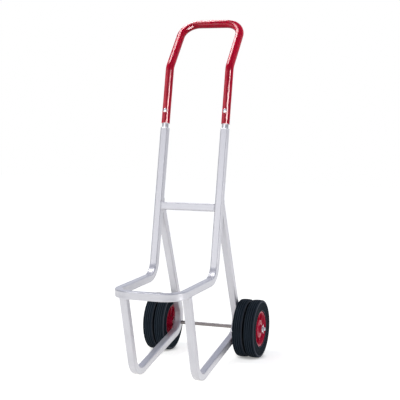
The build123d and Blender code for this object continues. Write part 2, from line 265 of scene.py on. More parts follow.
def scaled(tree, vector, factor):
    """Output of a node that multiplies a vector by a number."""
    return result(tree, "ShaderNodeVectorMath", {"Vector": vector, "Scale": factor}, operation="SCALE")


def axes_of(tree, vector):
    """The three numbers of a vector."""
    return tuple(add_node(tree, "ShaderNodeSeparateXYZ", {0: vector}).outputs)


def from_axes(tree, *axes):
    """Output of a node that joins three numbers to a vector."""
    return result(tree, "ShaderNodeCombineXYZ", dict(enumerate(axes)))


def ramp(tree, value, start=0.0, end=1.0, low=0.0, high=1.0, smooth=False):
    """Output of a node that goes from low to high while a value goes from start to end."""
    return result(
        tree, "ShaderNodeMapRange",
        {"Value": value, "From Min": start, "From Max": end, "To Min": low, "To Max": high},
        interpolation_type="SMOOTHSTEP" if smooth else "LINEAR")


def new_group(name, kind, inputs, outputs):
    """Node group with named sockets of a kind, and the sockets that its inputs give."""
    tree = bpy.data.node_groups.new(name, kind)
    for in_out, sockets in (("INPUT", inputs), ("OUTPUT", outputs)):
        for label, socket in sockets.items():
            tree.interface.new_socket(label, in_out=in_out, socket_type=f"NodeSocket{socket}")
    return tree, add_node(tree, "NodeGroupInput").outputs


def new_tree(name, sizes):
    """Geometry tree with named inputs for its sizes, and the sockets that they give."""
    inputs = {"Geometry": "Geometry", **sizes, "Material": "Material"}
    return new_group(name, "GeometryNodeTree", inputs, {"Geometry": "Geometry"})


def position(tree):
    """Output of a node that gives each point's place."""
    return result(tree, "GeometryNodeInputPosition")


def capture(tree, geometry, **fields):
    """Outputs of a node that keeps fields of a geometry, each given as a type and a socket."""
    node = add_node(tree, "GeometryNodeCaptureAttribute", {"Geometry": geometry}, domain="POINT")
    for name, (kind, socket) in fields.items():
        node.capture_items.new(kind, name)
        tree.links.new(socket, node.inputs[name])
    return node.outputs


def with_coordinate(tree, geometry, name, *axes):
    """Geometry whose points keep a coordinate of three numbers for the finishes."""
    return result(
        tree, "GeometryNodeStoreNamedAttribute",
        {"Geometry": geometry, "Name": name, "Value": from_axes(tree, *axes)},
        data_type="FLOAT_VECTOR", domain="POINT")


def placed(tree, geometry, given):
    """Geometry that is turned and moved to its place."""
    return result(tree, "GeometryNodeTransform", {
        "Geometry": geometry, "Translation": given["Centre"], "Rotation": given["Rotation"]})


def end_tree(tree, geometry, given):
    """Last nodes of a geometry tree: real meshes with their material."""
    real = result(tree, "GeometryNodeRealizeInstances", {"Geometry": geometry})
    painted = result(tree, "GeometryNodeSetMaterial", {"Geometry": real, "Material": given["Material"]})
    add_node(tree, "NodeGroupOutput", {0: painted})
    return tree


# Geometry node trees

@cache
def bent_tube_tree():
    """A square or round tube along a route of straight runs, whose corners become bends."""
    tree, given = new_tree("Bent Tube", {
        "Width": "Float", "Corner Radius": "Float", "Bend Radius": "Float", "Step": "Float",
        "Crush": "Float", "Tilt": "Float", "Round": "Bool"})
    half = math_node(tree, "MULTIPLY", given["Width"], 0.5)

    # Route with its bends, cut into even steps
    route = result(tree, "GeometryNodeMeshToCurve", {"Mesh": given["Geometry"]})
    share = add_node(tree, "GeometryNodeInputNamedAttribute", {"Name": BEND_SHARE}, data_type="FLOAT")
    radius = math_node(tree, "MULTIPLY", share.outputs["Attribute"], given["Bend Radius"])
    bends = result(tree, "GeometryNodeFilletCurve", {
        "Curve": route, "Count": BEND_STEPS, "Radius": radius}, mode="POLY")
    tilted = result(tree, "GeometryNodeSetCurveTilt", {"Curve": bends, "Tilt": given["Tilt"]})
    steps = result(tree, "GeometryNodeResampleCurve", {
        "Curve": tilted, "Length": given["Step"]}, mode="LENGTH")

    # Direction to the inside of the bend, of length 1 in a full bend and 0 in a straight run
    tangent = result(tree, "GeometryNodeInputTangent")
    index = result(tree, "GeometryNodeInputIndex")
    tangents = []
    for operation in ("ADD", "SUBTRACT"):
        inputs = {"Value": tangent, "Index": math_node(tree, operation, index, TURN_REACH)}
        tangents.append(result(
            tree, "GeometryNodeFieldAtIndex", inputs, domain="POINT", data_type="FLOAT_VECTOR"))
    turn = vector_node(tree, "SUBTRACT", *tangents)
    turn_length = math_node(tree, "MULTIPLY", given["Step"], 2.0 * TURN_REACH)
    inside = scaled(tree, turn, math_node(tree, "DIVIDE", given["Bend Radius"], turn_length))
    ends = result(tree, "GeometryNodeCurveEndpointSelection", {
        "Start Size": TURN_REACH, "End Size": TURN_REACH})
    middle = math_node(tree, "SUBTRACT", 1.0, ends)
    spine = capture(
        tree, steps, centre=("VECTOR", position(tree)), inside=("VECTOR", scaled(tree, inside, middle)),
        along=("FLOAT", add_node(tree, "GeometryNodeSplineParameter").outputs["Length"]))

    # Section of the tube
    square = result(tree, "GeometryNodeCurvePrimitiveQuadrilateral", {
        "Width": given["Width"], "Height": given["Width"]})
    cut = result(tree, "GeometryNodeSubdivideCurve", {"Curve": square, "Cuts": WALL_CUTS})
    rounded = result(tree, "GeometryNodeFilletCurve", {
        "Curve": cut, "Count": CORNER_STEPS, "Radius": given["Corner Radius"]}, mode="POLY")
    circle = result(tree, "GeometryNodeCurvePrimitiveCircle", {"Resolution": ROUND_SIDES, "Radius": half})
    either = result(tree, "GeometryNodeSwitch", {
        "Switch": given["Round"], "False": rounded, "True": circle}, input_type="GEOMETRY")
    section = capture(tree, either, section=("VECTOR", position(tree)))
    tube = result(tree, "GeometryNodeCurveToMesh", {
        "Curve": spine["Geometry"], "Profile Curve": section["Geometry"], "Fill Caps": True})

    # Walls drawn in at the bends, most in the middle of the inner and outer wall
    offset = vector_node(tree, "SUBTRACT", position(tree), spine["centre"])
    to_inside = vector_node(tree, "NORMALIZE", spine["inside"])
    depth = math_node(tree, "DIVIDE", vector_node(tree, "DOT_PRODUCT", offset, to_inside), half)
    flat = scaled(tree, to_inside, math_node(tree, "MULTIPLY", depth, half))
    aside = vector_node(tree, "SUBTRACT", offset, flat)
    aside_square = vector_node(tree, "DOT_PRODUCT", aside, aside)
    aside_share = math_node(tree, "DIVIDE", aside_square, math_node(tree, "MULTIPLY", half, half))
    bow = math_node(tree, "MAXIMUM", math_node(tree, "SUBTRACT", 1.0, aside_share), 0.0)
    drawn_in = math_node(tree, "MULTIPLY", bow, math_node(tree, "POWER", depth, 3.0))
    push = math_node(tree, "MULTIPLY", drawn_in, math_node(tree, "MULTIPLY", given["Crush"], -1.0))
    crushed = result(tree, "GeometryNodeSetPosition", {
        "Geometry": tube, "Offset": scaled(tree, spine["inside"], push)})

    # Coordinate that follows the tube: across its section, then along its length
    wide, high, _ = axes_of(tree, section["section"])
    marked = with_coordinate(tree, crushed, TUBE_COORDINATE, wide, high, spine["along"])
    return end_tree(tree, marked, given)


@cache
def turned_tree():
    """A turned piece: its outline, drawn as length along X and radius along Y, goes round an axis."""
    tree, given = new_tree("Turned Piece", {"Segments": "Int", "Centre": "Vector", "Rotation": "Vector"})
    outline = result(tree, "GeometryNodeMeshToCurve", {"Mesh": given["Geometry"]})
    drawn = capture(tree, outline, outline=("VECTOR", position(tree)))
    circle = result(tree, "GeometryNodeCurvePrimitiveCircle", {"Resolution": given["Segments"]})
    turn = math_node(tree, "DIVIDE", result(tree, "GeometryNodeInputIndex"), given["Segments"])
    ring = capture(tree, circle, turn=("FLOAT", turn))
    skin = result(tree, "GeometryNodeCurveToMesh", {
        "Curve": ring["Geometry"], "Profile Curve": drawn["Geometry"]})
    along, radius, _ = axes_of(tree, drawn["outline"])
    angle = math_node(tree, "MULTIPLY", ring["turn"], tau)
    aside = math_node(tree, "MULTIPLY", radius, math_node(tree, "COSINE", angle))
    up = math_node(tree, "MULTIPLY", radius, math_node(tree, "SINE", angle))
    round_skin = result(tree, "GeometryNodeSetPosition", {
        "Geometry": skin, "Position": from_axes(tree, along, aside, up)})
    marked = with_coordinate(tree, round_skin, TURNED_COORDINATE, along, radius, ring["turn"])
    return end_tree(tree, placed(tree, marked, given), given)


@cache
def rib_ring_tree():
    """Copies of one rib, set evenly round the X axis and then placed."""
    tree, given = new_tree("Rib Ring", {"Count": "Int", "Centre": "Vector", "Rotation": "Vector"})
    points = result(tree, "GeometryNodeMeshLine", {"Count": given["Count"], "Offset": (0.0, 0.0, 0.0)})
    turn = math_node(tree, "DIVIDE", result(tree, "GeometryNodeInputIndex"), given["Count"])
    rotation = result(tree, "FunctionNodeAxisAngleToRotation", {
        "Axis": ACROSS, "Angle": math_node(tree, "MULTIPLY", turn, tau)})
    ribs = result(tree, "GeometryNodeInstanceOnPoints", {
        "Points": points, "Instance": given["Geometry"], "Rotation": rotation})
    return end_tree(tree, placed(tree, ribs, given), given)


@cache
def weld_tree():
    """Weld beads along closed seams: a core with overlapping ripples of slightly uneven size."""
    core_share = 0.86
    ripple_shape = (1.0, 1.0, 0.55)
    smallest, largest = 0.92, 1.08
    tree, given = new_tree("Weld Beads", {
        "Width": "Float", "Pitch": "Float", "Corner Radius": "Float", "Seed": "Int"})
    half = math_node(tree, "MULTIPLY", given["Width"], 0.5)
    seams = result(tree, "GeometryNodeMeshToCurve", {"Mesh": given["Geometry"]})
    rounded = result(tree, "GeometryNodeFilletCurve", {
        "Curve": seams, "Count": BEAD_CORNER_STEPS, "Radius": given["Corner Radius"]}, mode="POLY")
    section = result(tree, "GeometryNodeCurvePrimitiveCircle", {
        "Resolution": BEAD_SIDES, "Radius": math_node(tree, "MULTIPLY", half, core_share)})
    core = result(tree, "GeometryNodeCurveToMesh", {"Curve": rounded, "Profile Curve": section})
    points = add_node(tree, "GeometryNodeCurveToPoints", {
        "Curve": rounded, "Length": given["Pitch"]}, mode="LENGTH").outputs
    ball = result(tree, "GeometryNodeMeshUVSphere", {
        "Segments": BEAD_SIDES, "Rings": RIPPLE_RINGS, "Radius": half})
    ripple = result(tree, "GeometryNodeTransform", {"Geometry": ball, "Scale": ripple_shape})

    # The node has sockets of the same names for other kinds, so its limits go by number
    size = add_node(tree, "FunctionNodeRandomValue", {
        2: smallest, 3: largest, "Seed": given["Seed"]}, data_type="FLOAT").outputs[1]
    ripples = result(tree, "GeometryNodeInstanceOnPoints", {
        "Points": points["Points"], "Instance": ripple, "Rotation": points["Rotation"], "Scale": size})
    beads = add_node(tree, "GeometryNodeJoinGeometry", {0: core})
    tree.links.new(ripples, beads.inputs[0])
    return end_tree(tree, beads.outputs[0], given)


# Mesh helpers

def link_object(name, data):
    """New object in the scene for a mesh, a lamp or the camera."""
    thing = bpy.data.objects.new(name, data)
    bpy.context.scene.collection.objects.link(thing)
    return thing


def chains(name, *outlines, closed=False):
    """Mesh object of points joined by edges, one chain for each outline."""
    points = []
    edges = []
    for outline in outlines:
        first = len(points)
        points += [Vector(point).to_3d() for point in outline]
        last = len(points) - 1
        edges += [(place, place + 1) for place in range(first, last)]
        if closed:
            edges.append((last, first))
    mesh = bpy.data.meshes.new(name)
    mesh.from_pydata(points, edges, [])
    return link_object(name, mesh)


def tube_route(name, corners, shares=()):
    """Route of a tube, whose corners keep their bends' share of the tube's bend radius."""
    route = chains(name, corners)
    kept = route.data.attributes.new(BEND_SHARE, "FLOAT", "POINT")
    kept.data.foreach_set("value", shares or [1.0] * len(corners))
    return route


def grow(piece, tree, values):
    """Turn a start object into the plain mesh that a geometry node tree makes of it."""
    modifier = piece.modifiers.new(tree.name, "NODES")
    modifier.node_group = tree
    for item in tree.interface.items_tree:
        if item.in_out == "INPUT" and item.name in values:
            modifier[item.identifier] = values[item.name]
    graph = bpy.context.evaluated_depsgraph_get()
    mesh = bpy.data.meshes.new_from_object(piece.evaluated_get(graph))
    piece.modifiers.remove(modifier)
    start = piece.data
    piece.data = mesh
    mesh.name = piece.name
    bpy.data.meshes.remove(start)
    if not mesh.polygons:
        raise RuntimeError(f"{piece.name} came out of {tree.name} with no faces")


def clean(piece, sharp=SHARP, cuts=()):
    """Merge doubles, cut by planes, point the faces outwards and shade smooth between sharp edges."""
    mesh = piece.data
    shape = bmesh.new()
    shape.from_mesh(mesh)
    bmesh.ops.remove_doubles(shape, verts=shape.verts, dist=MERGE_DISTANCE)
    bmesh.ops.dissolve_degenerate(shape, edges=shape.edges, dist=SLIVER_LENGTH)
    for point, away in cuts:
        # Dicts, unlike sets, keep an order, so each run gives the same mesh
        near = [vert for vert in shape.verts if (vert.co - point).length < CUT_REACH]
        faces = dict.fromkeys(face for vert in near for face in vert.link_faces)
        edges = dict.fromkeys(edge for face in faces for edge in face.edges)
        verts = dict.fromkeys(vert for face in faces for vert in face.verts)
        cut = bmesh.ops.bisect_plane(
            shape, geom=[*verts, *edges, *faces], plane_co=point, plane_no=away, clear_outer=True)
        rim = [part for part in cut["geom_cut"] if isinstance(part, bmesh.types.BMEdge)]
        bmesh.ops.holes_fill(shape, edges=rim)
    bmesh.ops.recalc_face_normals(shape, faces=shape.faces)
    shape.to_mesh(mesh)
    shape.free()
    mesh.polygons.foreach_set("use_smooth", [True] * len(mesh.polygons))
    mesh.set_sharp_from_angle(angle=sharp)


def hand_over(piece, body, node=None):
    """Let a piece ride on its CAD body and stand for its CAD node."""
    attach(piece, body)
    if node:
        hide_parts(node)


def paint_node(node, finish):
    """Give a CAD node a finish."""
    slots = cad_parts[node].data.materials
    for place in range(len(slots)):
        slots[place] = finish_named(finish)


def rounded_corners(corners, arc_steps=6):
    """Closed outline whose corners, each a point and a radius, are rounded by arcs."""
    outline = []
    for place, (point, radius) in enumerate(corners):
        corner = Vector(point)
        if radius == 0:
            outline.append(corner)
            continue
        before = (Vector(corners[place - 1][0]) - corner).normalized()
        after = (Vector(corners[(place + 1) % len(corners)][0]) - corner).normalized()
        half_angle = before.angle(after) / 2
        middle = corner + (before + after).normalized() * (radius / sin(half_angle))
        start = corner + before * (radius / tan(half_angle)) - middle
        end = corner + after * (radius / tan(half_angle)) - middle
        for step in range(arc_steps + 1):
            mixed = start.lerp(end, step / arc_steps)
            outline.append(middle + mixed.normalized() * radius)
    return outline


# Shader groups

@cache
def drawn_lines_group():
    """Fine lines along a drawn or turned surface: first two axes across them, third along them."""
    tree, given = new_group(
        "Drawn Lines", "ShaderNodeTree",
        {"Coordinate": "Vector", "Lines Across": "Float", "Lines Along": "Float"}, {"Tone": "Float"})
    scale = from_axes(tree, given["Lines Across"], given["Lines Across"], given["Lines Along"])
    noise = result(tree, "ShaderNodeTexNoise", {
        "Vector": vector_node(tree, "MULTIPLY", given["Coordinate"], scale),
        "Scale": 1.0, "Detail": 3.0, "Roughness": 0.6})
    add_node(tree, "NodeGroupOutput", {"Tone": ramp(tree, noise, start=0.3, end=0.7)})
    return tree


@cache
def mottle_group():
    """Soft cloudy change over a surface, of a size in metres."""
    tree, given = new_group(
        "Soft Mottle", "ShaderNodeTree", {"Coordinate": "Vector", "Size": "Float"}, {"Tone": "Float"})
    noise = result(tree, "ShaderNodeTexNoise", {
        "Vector": given["Coordinate"], "Scale": math_node(tree, "DIVIDE", 1.0, given["Size"]),
        "Detail": 4.0, "Roughness": 0.55})
    add_node(tree, "NodeGroupOutput", {"Tone": ramp(tree, noise, start=0.32, end=0.68)})
    return tree


@cache
def floor_rub_group():
    """Rubbed patches close to the floor, up to a height in metres."""
    tree, given = new_group(
        "Floor Rub", "ShaderNodeTree", {"Coordinate": "Vector", "Height": "Float"}, {"Mask": "Float"})
    near = ramp(tree, axes_of(tree, given["Coordinate"])[2], start=given["Height"], end=0.0)
    noise = result(tree, "ShaderNodeTexNoise", {
        "Vector": given["Coordinate"], "Scale": 180.0, "Detail": 5.0})
    patches = ramp(tree, noise, start=0.42, end=0.62)
    add_node(tree, "NodeGroupOutput", {"Mask": math_node(tree, "MULTIPLY", near, patches)})
    return tree


# Finishes

def start_material(name, **constants):
    """Material with a bare Principled shader, whose constants are set on its own sockets."""
    material = bpy.data.materials.new(name)
    material.use_nodes = True
    tree = material.node_tree
    shader = tree.nodes["Principled BSDF"]
    for key, value in constants.items():
        shader.inputs[key.replace("_", " ")].default_value = value
    return material, tree, shader


def feed(shader, **sockets):
    """Link sockets to the shader's inputs of these names."""
    for key, socket in sockets.items():
        shader.id_data.links.new(socket, shader.inputs[key.replace("_", " ")])


def object_coordinate(tree):
    """Object coordinates."""
    return add_node(tree, "ShaderNodeTexCoord").outputs["Object"]


def surface_coordinate(tree, attribute):
    """Coordinate that follows the surface, from an attribute of the mesh."""
    return add_node(tree, "ShaderNodeAttribute", attribute_name=attribute).outputs["Vector"]


def fine_lines(tree, coordinate, across, along):
    """Tone of fine lines, with these numbers of them to a unit of the coordinate."""
    inputs = {"Coordinate": coordinate, "Lines Across": across, "Lines Along": along}
    return result(tree, "ShaderNodeGroup", inputs, node_tree=drawn_lines_group())


def mottle(tree, size):
    """Soft cloudy tone of a size."""
    return result(tree, "ShaderNodeGroup", {
        "Coordinate": object_coordinate(tree), "Size": size}, node_tree=mottle_group())


def floor_rub(tree, height):
    """Mask of rubbed patches up to a height."""
    return result(tree, "ShaderNodeGroup", {
        "Coordinate": object_coordinate(tree), "Height": height}, node_tree=floor_rub_group())


def tint(colour, factor=1.0):
    """A colour made lighter or darker, with alpha."""
    return (*[min(1.0, part * factor) for part in colour], 1.0)


def mixed_colour(tree, factor, first, second):
    """Output of a node that mixes two colours."""
    # The node has sockets of the same names for other kinds, so its colours go by number
    inputs = {"Factor": factor, 6: first, 7: second}
    return add_node(tree, "ShaderNodeMix", inputs, data_type="RGBA").outputs[2]


def shaded(tree, tone, colour, dark, light):
    """Output of a node that goes from a darker to a lighter shade of a colour."""
    return mixed_colour(tree, tone, tint(colour, dark), tint(colour, light))


def mixed_tone(tree, first, second, share):
    """Sum of two tones, of which the first has this share."""
    shares = ((first, share), (second, 1 - share))
    return math_node(tree, "ADD", *[math_node(tree, "MULTIPLY", tone, part) for tone, part in shares])


def bump(tree, shader, height, strength, distance):
    """Small relief on a material."""
    inputs = {"Strength": strength, "Distance": distance, "Height": height}
    feed(shader, Normal=result(tree, "ShaderNodeBump", inputs))


def metal(name, colour, roughness, attribute="", across=900.0, along=2.0, relief=0.05, metallic=1.0):
    """Drawn or turned metal: fine lines, cloudy tone, uneven gloss and rubbed patches near the floor."""
    material, tree, shader = start_material(name, Metallic=metallic)
    coordinate = surface_coordinate(tree, attribute) if attribute else object_coordinate(tree)
    fine = fine_lines(tree, coordinate, across, along)
    rub = floor_rub(tree, height=0.008)
    tone = mixed_tone(tree, fine, mottle(tree, size=0.06), share=0.6)
    fresh = shaded(tree, tone, colour, dark=0.9, light=1.08)
    gloss = ramp(tree, tone, low=roughness - 0.04, high=roughness + 0.06)
    dull = ramp(tree, rub, high=0.2)
    feed(
        shader, Base_Color=mixed_colour(tree, rub, fresh, tint(colour, 0.7)),
        Roughness=math_node(tree, "ADD", gloss, dull))
    bump(tree, shader, fine, strength=relief, distance=0.0004)
    return material


def bright_ends(material, colour):
    """Turned metal whose ends beyond the frame are painted pale and less metallic than its middle."""
    tree = material.node_tree
    shader = tree.nodes["Principled BSDF"]
    plain = shader.inputs["Base Color"].links[0].from_socket
    from_middle = math_node(tree, "ABSOLUTE", axes_of(tree, object_coordinate(tree))[0])
    end = ramp(tree, from_middle, start=FRAME_HIGH.x, end=FRAME_HIGH.x + TUBE / 2)
    feed(
        shader, Base_Color=mixed_colour(tree, end, plain, tint(colour)),
        Metallic=ramp(tree, end, low=1.0, high=0.4))
    return material


def clouded(name, colour, size, shades, gloss, relief=None, **constants):
    """Cloudy finish. Its shades and gloss are ranges, and its relief has a grain, strength and distance."""
    material, tree, shader = start_material(name, **constants)
    cloud = mottle(tree, size)
    feed(
        shader, Base_Color=shaded(tree, cloud, colour, *shades),
        Roughness=ramp(tree, cloud, low=gloss[0], high=gloss[1]))
    if relief:
        grain, strength, distance = relief
        bump(tree, shader, mottle(tree, grain), strength, distance)
    return material


def peak(tree, value, centre, reach):
    """Output that is 1 where a value is at a centre, and falls to 0 at a reach on both sides of it."""
    gap = math_node(tree, "ABSOLUTE", math_node(tree, "SUBTRACT", value, centre))
    return ramp(tree, gap, start=reach, end=0.0, smooth=True)


def highlight_and_wear_edges(tree, turned, wheels):
    """Mask of painted highlight and wear on the tyre: the tread's ribs, the shoulders and the bead rings."""
    along, radius, _ = axes_of(tree, turned)
    from_middle = math_node(tree, "ABSOLUTE", along)
    half_pitch = wheels.groove_pitch / 2
    beside_rib = math_node(tree, "PINGPONG", from_middle, half_pitch)
    # Rib tops are painted paler than the grooves between them, a painted highlight on the ribs
    rib = peak(tree, beside_rib, centre=0.0, reach=half_pitch - wheels.groove_width / 3)
    on_tread = ramp(tree, peak(tree, radius, centre=TREAD, reach=0.0035), high=0.19)
    ribs = math_node(tree, "MULTIPLY", rib, on_tread)
    beside_tread = peak(tree, from_middle, centre=TYRE_WIDTH / 2, reach=0.0045)
    below_tread = peak(tree, radius, centre=TREAD - 0.007, reach=0.0065)
    shoulder = math_node(tree, "MULTIPLY", beside_tread, below_tread)
    bead_ring = peak(tree, radius, centre=FLANGE + 0.0025, reach=0.003)
    return math_node(tree, "MAXIMUM", math_node(tree, "MAXIMUM", shoulder, bead_ring), ribs)


def rubber(name, colour, highlight_and_wear_colour, wheels):
    """Black rubber: edges painted paler as highlight and wear, fine flow lines and dust near the floor."""
    material, tree, shader = start_material(name, Specular_IOR_Level=0.015)
    turned = surface_coordinate(tree, TURNED_COORDINATE)
    flow = fine_lines(tree, turned, across=700.0, along=30.0)
    dust = floor_rub(tree, height=0.004)
    tone = mixed_tone(tree, flow, mottle(tree, size=0.03), share=0.5)
    fresh = shaded(tree, tone, colour, dark=0.6, light=1.4)
    # Painted highlight, partly wear: rib tops, shoulders and bead rings take the paler colour
    highlighted_and_worn = mixed_colour(tree, highlight_and_wear_edges(tree, turned, wheels), fresh, tint(highlight_and_wear_colour))
    feed(
        shader, Base_Color=mixed_colour(tree, dust, highlighted_and_worn, tint(colour, 3.0)),
        Roughness=ramp(tree, tone, low=0.5, high=0.66))
    bump(tree, shader, flow, strength=0.12, distance=0.0004)
    return material


@cache
def finish_named(name):
    """A finish, made the first time that it is needed."""
    colours = bpy.context.scene.dolly_finishes
    wheels = bpy.context.scene.dolly_wheels
    makers = {
        "satin_tube": lambda: metal(
            name, colours.aluminium, roughness=0.38, attribute=TUBE_COORDINATE, metallic=0.6),
        "spigot_aluminium": lambda: metal(
            name, colours.spigot, roughness=0.22, across=500.0, along=40.0, metallic=0.6),
        "weld_aluminium": lambda: clouded(
            name, colours.aluminium, size=0.004, shades=(0.86, 1.06), gloss=(0.3, 0.46),
            relief=(0.004, 0.2, 0.0003), Metallic=1.0),
        "handle_enamel": lambda: clouded(
            name, colours.handle_red, size=0.12, shades=(0.95, 1.05), gloss=(0.1105, 0.1495),
            relief=(0.004, 0.004, 0.0002), Specular_IOR_Level=0.12),
        "hub_enamel": lambda: clouded(
            name, colours.hub_red, size=0.12, shades=(0.95, 1.05), gloss=(0.17, 0.23),
            relief=(0.004, 0.02, 0.0002), Specular_IOR_Level=0.12),
        "tyre_rubber": lambda: rubber(name, colours.rubber, colours.highlight_and_wear_rubber, wheels),
        "bright_zinc": lambda: metal(
            name, colours.zinc, roughness=0.2, across=1500.0, along=1500.0, relief=0.03),
        "turned_steel": lambda: bright_ends(
            metal(name, colours.steel, roughness=0.33, across=40.0, along=1200.0, relief=0.06),
            colours.zinc),
        "moulded_nylon": lambda: clouded(
            name, colours.nylon, size=0.006, shades=(0.93, 1.05), gloss=(0.38, 0.5)),
    }
    return makers[name]()


# Places on the frame

def at_height(point, direction, height):
    """Point on a line at a height."""
    return point + direction * ((height - point.z) / direction.z)


class FramePlaces:
    """Directions and corners of the tubes in the side view, from the CAD boxes and the tube settings."""

    def __init__(self, tubes):
        half = TUBE / 2
        bend = tubes.bend_radius
        self.along_upright = Vector((0, sin(tubes.rake), cos(tubes.rake)))
        self.behind_upright = Vector((0, cos(tubes.rake), -sin(tubes.rake)))
        self.up_leg = Vector((0, -sin(tubes.leg_lean), cos(tubes.leg_lean)))
        self.along_skid = Vector((0, cos(tubes.skid_rise), sin(tubes.skid_rise)))
        self.up_strut = Vector((0, -sin(tubes.strut_lean), cos(tubes.strut_lean)))

        # Uprights, with the handle's lower end and the heel of the loop
        to_corner = Vector((0, cos(tubes.rake), sin(tubes.rake))) * half
        self.upright_top = Vector((0, FRAME_HIGH.y, FRAME_HIGH.z)) - to_corner
        self.upright_back = self.on_upright(CROSS_BAR_Z) + self.behind_upright * half
        self.handle_end = self.on_upright(HANDLE_LOW.z + HANDLE_DIA / 2 * sin(tubes.rake))
        self.heel = self.on_upright(LOOP_Z)

        # Side tubes, whose rear bend holds the axle and whose foot bend stands on the floor
        half_corner = (pi / 2 - tubes.strut_lean + tubes.skid_rise) / 2
        to_centre = (self.up_strut - self.along_skid).normalized()
        self.rear_corner = Vector((0, AXLE.y, AXLE.z)) - to_centre * bend * (1 / sin(half_corner) - 1)
        foot_rise = (self.along_skid.z + self.up_leg.z) / cos(tubes.leg_lean - tubes.skid_rise)
        self.foot_corner = at_height(self.rear_corner, self.along_skid, half + bend * (1 - foot_rise))
        self.leg_top = at_height(self.foot_corner, self.up_leg, LOOP_Z)
        self.strut_top = at_height(self.rear_corner, self.up_strut, CROSS_BAR_Z + TUBE)

        # Where a leg meets the underside of the arm, and a strut the back of the upright
        self.leg_seat = at_height(self.foot_corner, self.up_leg, LOOP_Z - half)
        gap = (self.upright_back - self.rear_corner).dot(self.behind_upright)
        self.strut_seat = self.rear_corner + self.up_strut * (gap / self.up_strut.dot(self.behind_upright))

    def on_upright(self, height):
        """Point on the uprights' centre line at a height."""
        return at_height(self.upright_top, self.along_upright, height)


def on_rail(sign, point):
    """A side-view point moved to the left or right tubes."""
    return Vector((sign * RAIL_X, point.y, point.z))


def over_and_back(*points):
    """Route along side-view points on the left, and back along them on the right."""
    return [on_rail(-1, point) for point in points] + [on_rail(1, point) for point in reversed(points)]


def facing(direction):
    """Rotation that turns a piece from the X axis to a direction."""
    return tuple(direction.to_track_quat("X", "Z").to_euler())


# Frame and handle

class DOLLY_OT_frame_tubes(bpy.types.Operator):
    """Bend the square frame tubes along their routes"""

    bl_idname = "dolly.frame_tubes"
    bl_label = "Frame Tubes"

    def execute(self, context):
        tubes = context.scene.dolly_tubes
        places = FramePlaces(tubes)
        front = Vector((0, FRONT_BAR_Y, LOOP_Z))
        self.tube("upper_frame", over_and_back(places.upright_top, places.heel, front), tubes)
        bar_middle = places.on_upright(CROSS_BAR_Z)
        half_bar = ACROSS * (RAIL_X - TUBE / 2)
        self.tube("cross_bar", (bar_middle - half_bar, bar_middle + half_bar), tubes, tilt=-tubes.rake)
        corners = (places.leg_top, places.foot_corner, places.rear_corner, places.strut_top)
        for side, sign in SIDES.items():
            route = [on_rail(sign, corner) for corner in corners]
            cuts = (
                (on_rail(sign, places.leg_seat), UP),
                (on_rail(sign, places.strut_seat), -places.behind_upright),
            )
            self.tube(f"{side}_side_tube", route, tubes, cuts=cuts)
        return {"FINISHED"}

    def tube(self, node, route, tubes, tilt=0.0, cuts=()):
        """One tube in place of its CAD node, cut where it is welded on."""
        piece = tube_route(f"{node}_tube", route)
        grow(piece, bent_tube_tree(), {
            "Width": TUBE, "Corner Radius": tubes.corner_radius, "Bend Radius": tubes.bend_radius,
            "Step": tubes.step, "Crush": tubes.bend_crush, "Tilt": tilt,
            "Material": finish_named("satin_tube")})
        clean(piece, cuts=cuts)
        hand_over(piece, "frame", node)


class DOLLY_OT_welds(bpy.types.Operator):
    """Lay weld beads round the ends of the cross bar, struts and legs"""

    bl_idname = "dolly.welds"
    bl_label = "Weld Beads"

    def execute(self, context):
        sunk_share = 0.3
        tubes = context.scene.dolly_tubes
        places = FramePlaces(tubes)
        half = TUBE / 2
        flush = half - sunk_share * tubes.weld_width
        strut_reach = half / sqrt(1 - places.up_strut.dot(places.along_upright) ** 2)
        leg_reach = half / cos(tubes.leg_lean)
        seams = []
        for sign in SIDES.values():
            bar_end = places.on_upright(CROSS_BAR_Z) + ACROSS * sign * (RAIL_X - half)
            joints = (
                (bar_end, places.behind_upright * flush, places.along_upright * half),
                (on_rail(sign, places.strut_seat), ACROSS * flush, places.along_upright * strut_reach),
                (on_rail(sign, places.leg_seat), ACROSS * flush, Vector((0, leg_reach, 0))),
            )
            for centre, aside, up in joints:
                low = centre - up
                high = centre + up
                seams.append([low - aside, low + aside, high + aside, high - aside])
        piece = chains("frame_welds", *seams, closed=True)
        grow(piece, weld_tree(), {
            "Width": tubes.weld_width, "Pitch": tubes.weld_pitch, "Corner Radius": tubes.corner_radius,
            "Seed": 7, "Material": finish_named("weld_aluminium")})
        clean(piece, sharp=radians(80))
        hand_over(piece, "frame")
        return {"FINISHED"}


class DOLLY_OT_handle(bpy.types.Operator):
    """Bend the loop handle and finish the spigots that carry it"""

    bl_idname = "dolly.handle"
    bl_label = "Handle"

    def execute(self, context):
        tubes = context.scene.dolly_tubes
        handle = context.scene.dolly_handle
        places = FramePlaces(tubes)
        kink = places.on_upright(handle.kink_height)
        bar = Vector((0, HANDLE_HIGH.y - HANDLE_DIA / 2, HANDLE_HIGH.z - HANDLE_DIA / 2))
        kink_share = handle.kink_radius / handle.bend_radius
        piece = tube_route(
            "handle_loop", over_and_back(places.handle_end, kink, bar),
            (1.0, kink_share, 1.0, 1.0, kink_share, 1.0))
        grow(piece, bent_tube_tree(), {
            "Width": HANDLE_DIA, "Corner Radius": HANDLE_DIA / 4, "Bend Radius": handle.bend_radius,
            "Step": tubes.step, "Crush": 0.0, "Round": True, "Material": finish_named("handle_enamel")})
        clean(piece)
        hand_over(piece, "frame", "handle")
        for side in SIDES:
            paint_node(f"{side}_handle_spigot", "spigot_aluminium")
        return {"FINISHED"}


